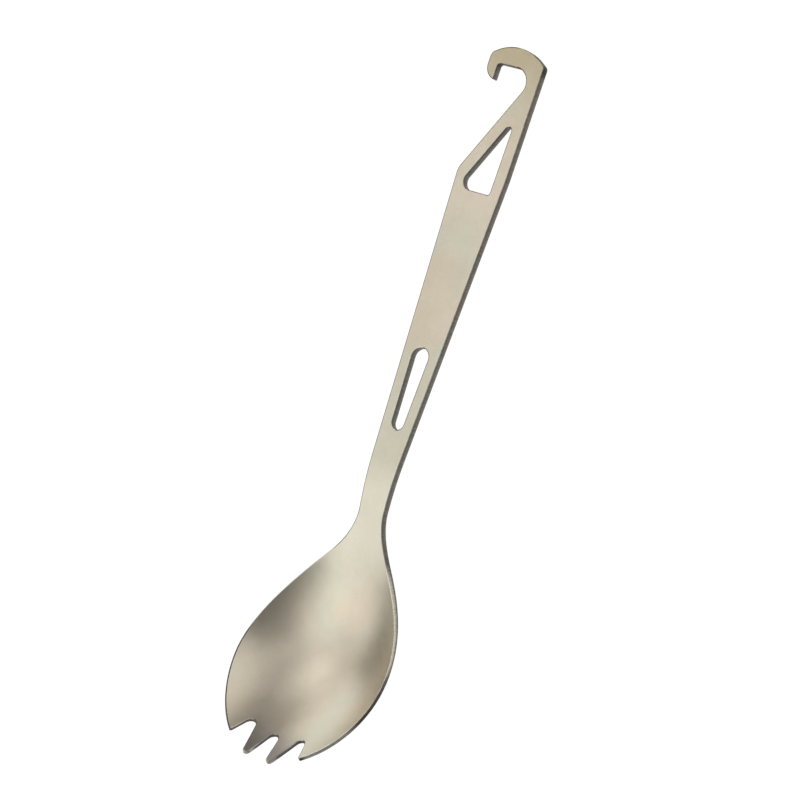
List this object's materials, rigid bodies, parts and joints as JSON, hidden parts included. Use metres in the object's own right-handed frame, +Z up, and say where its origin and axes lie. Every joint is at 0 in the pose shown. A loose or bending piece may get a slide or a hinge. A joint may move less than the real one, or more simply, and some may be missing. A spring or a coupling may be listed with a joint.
{
  "type": "spork",
  "caption": "One-piece titanium spork: flat handle with an end hook, a triangular window and a slot, and a pressed bowl with short tines.",
  "frame": {"origin": "middle of the footprint, on the table that the spork lies on", "axes": "+X along the handle towards the tines, +Y away from the side that the hook opens to, +Z up"},
  "size_m": [0.1782, 0.0428, 0.0204],
  "materials": {
    "titanium": "satin bead-blasted titanium, uncoated"
  },
  "bodies": {
    "root": {"spork": "titanium"}
  },
  "joints": []
}
